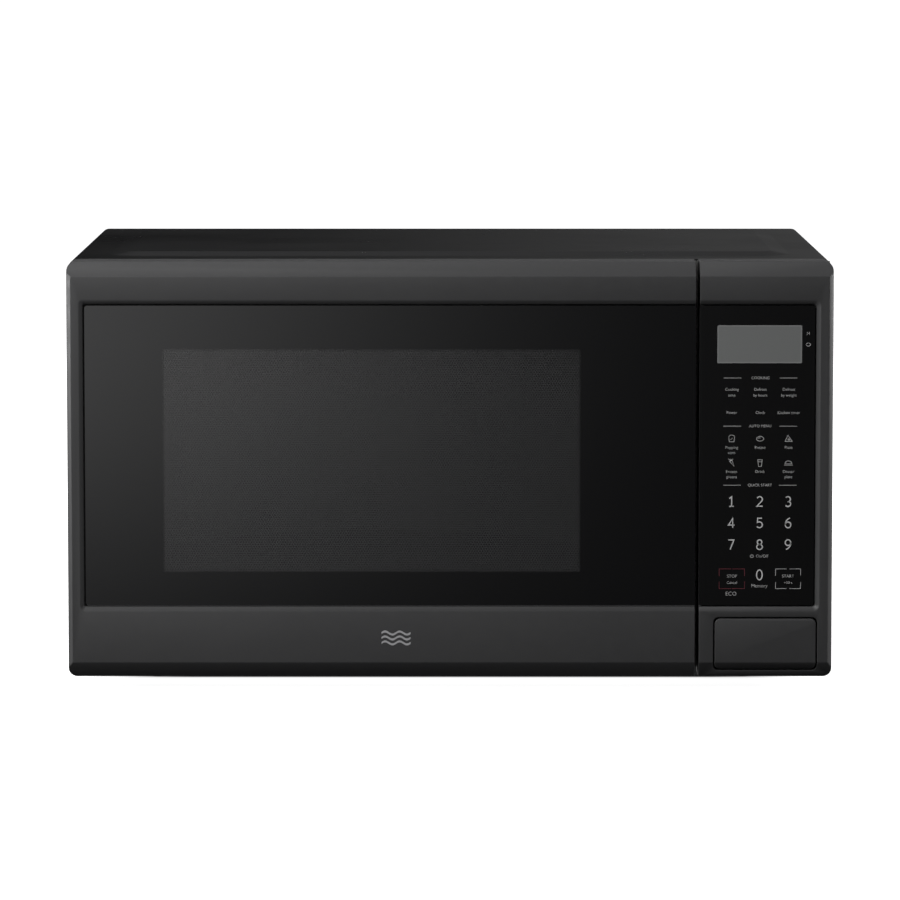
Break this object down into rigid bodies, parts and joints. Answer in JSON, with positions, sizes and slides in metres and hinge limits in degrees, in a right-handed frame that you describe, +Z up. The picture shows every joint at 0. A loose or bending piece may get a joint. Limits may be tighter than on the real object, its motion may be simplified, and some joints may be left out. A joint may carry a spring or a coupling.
{
  "type": "microwave oven",
  "caption": "Countertop microwave oven with a side-hinged glass door, push-button latch, flat key panel, turntable on a roller ring and a working interior.",
  "frame": {"origin": "middle of the footprint, on the surface the feet rest on", "axes": "+X to the right, the door faces -Y, +Z up"},
  "size_m": [0.554, 0.434, 0.313],
  "materials": {
    "casing_black": "satin black paint on steel",
    "graphite": "satin graphite moulding",
    "black_glass": "gloss tinted glass",
    "control_gloss": "gloss black panel",
    "display_grey": "grey display window",
    "zinc": "zinc-plated sheet steel",
    "enamel": "light grey enamel",
    "screen_black": "black enamel",
    "dark_plastic": "matt black moulding",
    "nylon": "natural nylon",
    "rubber_foot": "black rubber",
    "copper": "varnished copper wire",
    "fin_alu": "plain aluminium",
    "lamination": "varnished laminations",
    "board_green": "circuit board",
    "tray_glass": "clear pressed glass",
    "clear_sheet": "clear film",
    "lamp_glass": "lamp glass",
    "mica": "mica sheet",
    "screw_steel": "bright screws",
    "spring_steel": "spring wire"
  },
  "bodies": {
    "root": {"outer_cover": "casing_black", "base_plate": "zinc", "rear_panel": "zinc", "feet": "rubber_foot", "casing_screws": "screw_steel", "front_frame": "enamel", "cavity_walls": "enamel", "cavity_floor": "enamel", "cavity_back": "enamel", "waveguide": "zinc", "waveguide_cover": "mica", "lamp_holder": "nylon", "lamp_bulb": "lamp_glass", "air_duct": "dark_plastic", "magnetron_frame": "zinc", "magnetron_fins": "fin_alu", "magnetron_filter": "zinc", "magnetron_antenna": "nylon", "transformer_core": "lamination", "transformer_windings": "copper", "hv_capacitor": "zinc", "capacitor_clamp": "zinc", "hv_diode": "dark_plastic", "fan_shroud": "dark_plastic", "fan_motor": "zinc", "turntable_motor": "zinc", "thermal_cutouts": "dark_plastic", "filter_board": "board_green", "cord_gland": "dark_plastic", "control_fascia": "graphite", "control_glass": "control_gloss", "display_lens": "display_grey", "display_module": "dark_plastic", "key_membrane": "nylon", "control_board": "board_green", "board_components": "dark_plastic", "button_spring": "spring_steel", "interlock_bracket": "dark_plastic", "door_switches": "dark_plastic", "hinge_upper": "zinc", "hinge_lower": "zinc"},
    "door": {"door_frame": "graphite", "door_glass": "black_glass", "door_screen": "screen_black", "inner_window": "clear_sheet", "choke_cover": "casing_black", "hinge_bushes": "nylon", "latch_spring": "spring_steel"},
    "hooks": {"latch_hooks": "nylon"},
    "button": {"door_release_button": "graphite"},
    "lever": {"latch_lever": "nylon"},
    "turntable": {"turntable_shaft": "nylon", "turntable_coupler": "nylon", "turntable_tray": "tray_glass"},
    "ring": {"roller_ring": "nylon"},
    "roller_1": {"roller_1": "nylon"},
    "roller_2": {"roller_2": "nylon"},
    "roller_3": {"roller_3": "nylon"},
    "fan": {"fan_blade": "nylon"}
  },
  "joints": [
    {"name": "door_hinge", "type": "hinge", "parent": "root", "child": "door", "pos_m": [-0.264, -0.188, 0.02], "axis": [0, 0, -1], "range_deg": [0, 95]},
    {"name": "button_press", "type": "slide", "parent": "root", "child": "button", "axis": [0, 1, 0], "range_m": [0, 0.006], "stiffness_N_per_m": 400, "springref_m": -0.004, "deforming": ["button_spring"]},
    {"name": "lever_turn", "type": "hinge", "parent": "root", "child": "lever", "pos_m": [0.179, -0.158, 0.068], "axis": [1, 0, 0], "range_deg": [0, 10.12]},
    {"name": "hook_lift", "type": "slide", "parent": "door", "child": "hooks", "axis": [0, 0, 1], "range_m": [0, 0.00495], "stiffness_N_per_m": 150, "springref_m": -0.004, "deforming": ["latch_spring"]},
    {"name": "tray_spin", "type": "hinge", "parent": "root", "child": "turntable", "pos_m": [-0.056, 0.01285, 0.038], "axis": [0, 0, 1], "continuous": true},
    {"name": "ring_spin", "type": "hinge", "parent": "root", "child": "ring", "pos_m": [-0.056, 0.01285, 0.038], "axis": [0, 0, 1], "continuous": true},
    {"name": "roller_1_spin", "type": "hinge", "parent": "ring", "child": "roller_1", "pos_m": [-0.056, 0.1204, 0.046], "axis": [0, 1, 0], "continuous": true},
    {"name": "roller_2_spin", "type": "hinge", "parent": "ring", "child": "roller_2", "pos_m": [-0.14914, -0.04093, 0.046], "axis": [-0.866, -0.5, 0], "continuous": true},
    {"name": "roller_3_spin", "type": "hinge", "parent": "ring", "child": "roller_3", "pos_m": [0.03714, -0.04093, 0.046], "axis": [0.866, -0.5, 0], "continuous": true},
    {"name": "fan_spin", "type": "hinge", "parent": "root", "child": "fan", "pos_m": [0.2068, 0.1924, 0.1995], "axis": [0, 1, 0], "continuous": true}
  ],
  "couplings": [
    {"joint": "lever_turn", "follows": "button_press", "rad_per_m": 29.412},
    {"joint": "hook_lift", "follows": "button_press", "ratio": 0.82353},
    {"joint": "ring_spin", "follows": "tray_spin", "ratio": 0.5},
    {"joint": "roller_1_spin", "follows": "tray_spin", "ratio": -6.7219},
    {"joint": "roller_2_spin", "follows": "tray_spin", "ratio": -6.7219},
    {"joint": "roller_3_spin", "follows": "tray_spin", "ratio": -6.7219}
  ]
}
